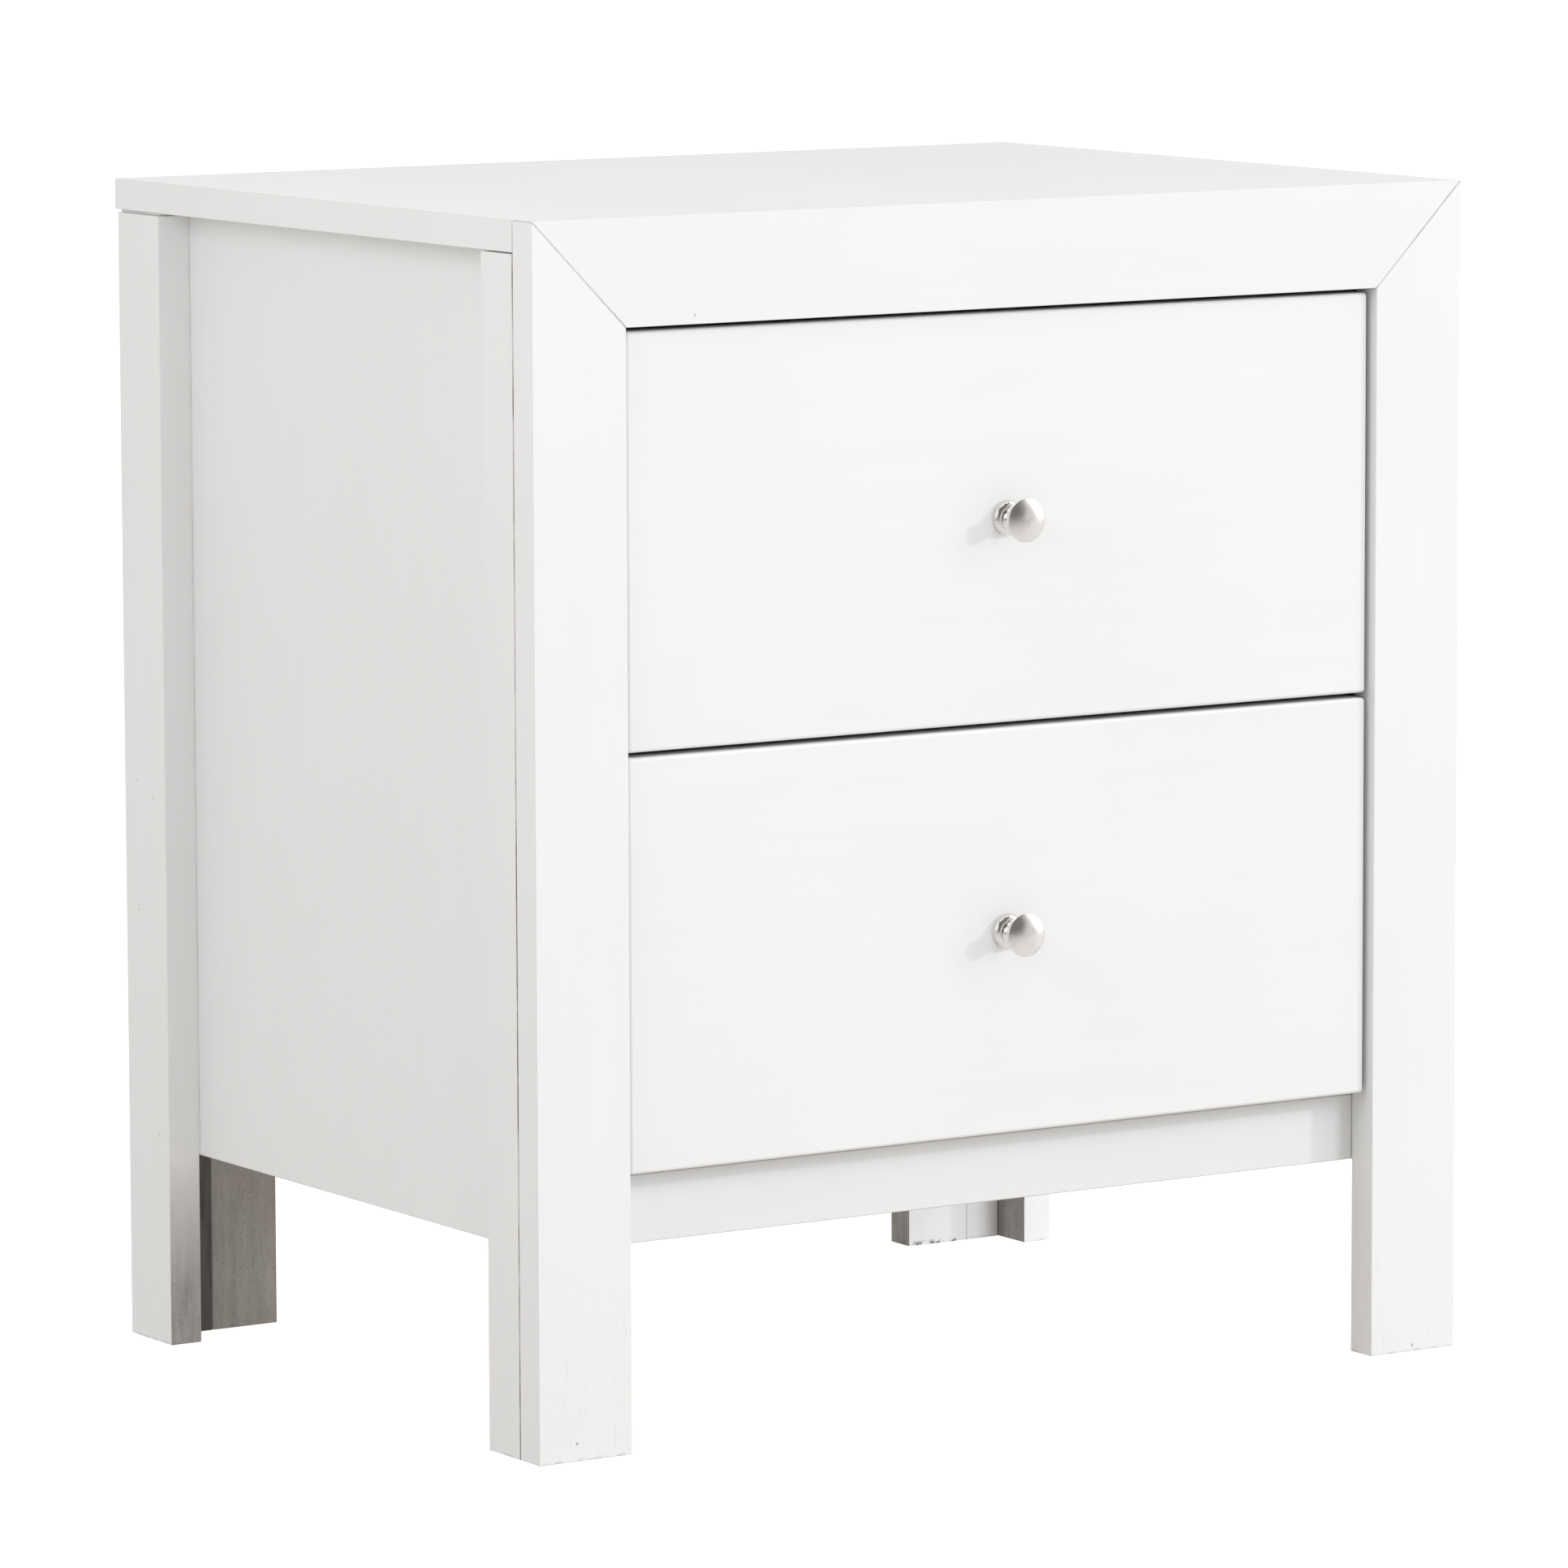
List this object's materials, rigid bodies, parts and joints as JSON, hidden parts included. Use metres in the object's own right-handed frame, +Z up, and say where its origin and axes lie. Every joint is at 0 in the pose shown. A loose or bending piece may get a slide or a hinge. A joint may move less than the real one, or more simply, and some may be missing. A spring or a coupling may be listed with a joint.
{
  "type": "nightstand",
  "caption": "White nightstand with stacked inset drawers on telescopic slides, mitred front frame, recessed side panels, plank legs and turned metal knobs.",
  "frame": {"origin": "middle of the footprint, knobs included, on the floor", "axes": "+X to the right seen from the front, +Y from the front to the back, +Z up; the drawers pull out towards -Y"},
  "size_m": [0.559, 0.436, 0.61],
  "materials": {
    "white_lacquer": "satin white lacquer over wood, with faint grain",
    "primed_board": "matt primed board",
    "drawer_wood": "clear-coated pale plywood",
    "zinc_steel": "zinc-plated pressed steel",
    "satin_nickel": "brushed satin nickel",
    "polished_nickel": "polished nickel"
  },
  "bodies": {
    "case": {"top_panel": "white_lacquer", "front_left_stile": "white_lacquer", "front_right_stile": "white_lacquer", "front_top_rail": "white_lacquer", "front_left_leg_strip": "white_lacquer", "front_right_leg_strip": "white_lacquer", "rear_left_leg_side": "white_lacquer", "rear_right_leg_side": "white_lacquer", "rear_left_leg_block": "white_lacquer", "rear_right_leg_block": "white_lacquer", "rear_left_leg_board": "white_lacquer", "rear_right_leg_board": "white_lacquer", "left_side_panel": "white_lacquer", "right_side_panel": "white_lacquer", "back_panel": "white_lacquer", "front_apron": "white_lacquer", "rear_top_rail": "white_lacquer", "rear_bottom_rail": "white_lacquer", "left_top_cleat": "primed_board", "right_top_cleat": "primed_board", "upper_left_runner_cleat": "primed_board", "upper_right_runner_cleat": "primed_board", "lower_left_runner_cleat": "primed_board", "lower_right_runner_cleat": "primed_board", "upper_left_slide_cabinet_member": "zinc_steel", "upper_right_slide_cabinet_member": "zinc_steel", "lower_left_slide_cabinet_member": "zinc_steel", "lower_right_slide_cabinet_member": "zinc_steel"},
    "upper_slide_middle": {"upper_left_slide_middle_member": "zinc_steel", "upper_right_slide_middle_member": "zinc_steel"},
    "lower_slide_middle": {"lower_left_slide_middle_member": "zinc_steel", "lower_right_slide_middle_member": "zinc_steel"},
    "upper_drawer": {"upper_drawer_front": "white_lacquer", "upper_drawer_left_side": "drawer_wood", "upper_drawer_right_side": "drawer_wood", "upper_drawer_back": "drawer_wood", "upper_drawer_bottom": "drawer_wood", "upper_knob": "satin_nickel", "upper_knob_foot": "polished_nickel", "upper_knob_screw": "zinc_steel", "upper_left_slide_drawer_member": "zinc_steel", "upper_right_slide_drawer_member": "zinc_steel"},
    "lower_drawer": {"lower_drawer_front": "white_lacquer", "lower_drawer_left_side": "drawer_wood", "lower_drawer_right_side": "drawer_wood", "lower_drawer_back": "drawer_wood", "lower_drawer_bottom": "drawer_wood", "lower_knob": "satin_nickel", "lower_knob_foot": "polished_nickel", "lower_knob_screw": "zinc_steel", "lower_left_slide_drawer_member": "zinc_steel", "lower_right_slide_drawer_member": "zinc_steel"}
  },
  "joints": [
    {"name": "upper_drawer_slide", "type": "slide", "parent": "case", "child": "upper_drawer", "axis": [0, -1, 0], "range_m": [0, 0.33]},
    {"name": "upper_middle_slide", "type": "slide", "parent": "case", "child": "upper_slide_middle", "axis": [0, -1, 0], "range_m": [0, 0.165]},
    {"name": "lower_drawer_slide", "type": "slide", "parent": "case", "child": "lower_drawer", "axis": [0, -1, 0], "range_m": [0, 0.33]},
    {"name": "lower_middle_slide", "type": "slide", "parent": "case", "child": "lower_slide_middle", "axis": [0, -1, 0], "range_m": [0, 0.165]}
  ],
  "couplings": [
    {"joint": "upper_middle_slide", "follows": "upper_drawer_slide", "ratio": 0.5},
    {"joint": "lower_middle_slide", "follows": "lower_drawer_slide", "ratio": 0.5}
  ]
}
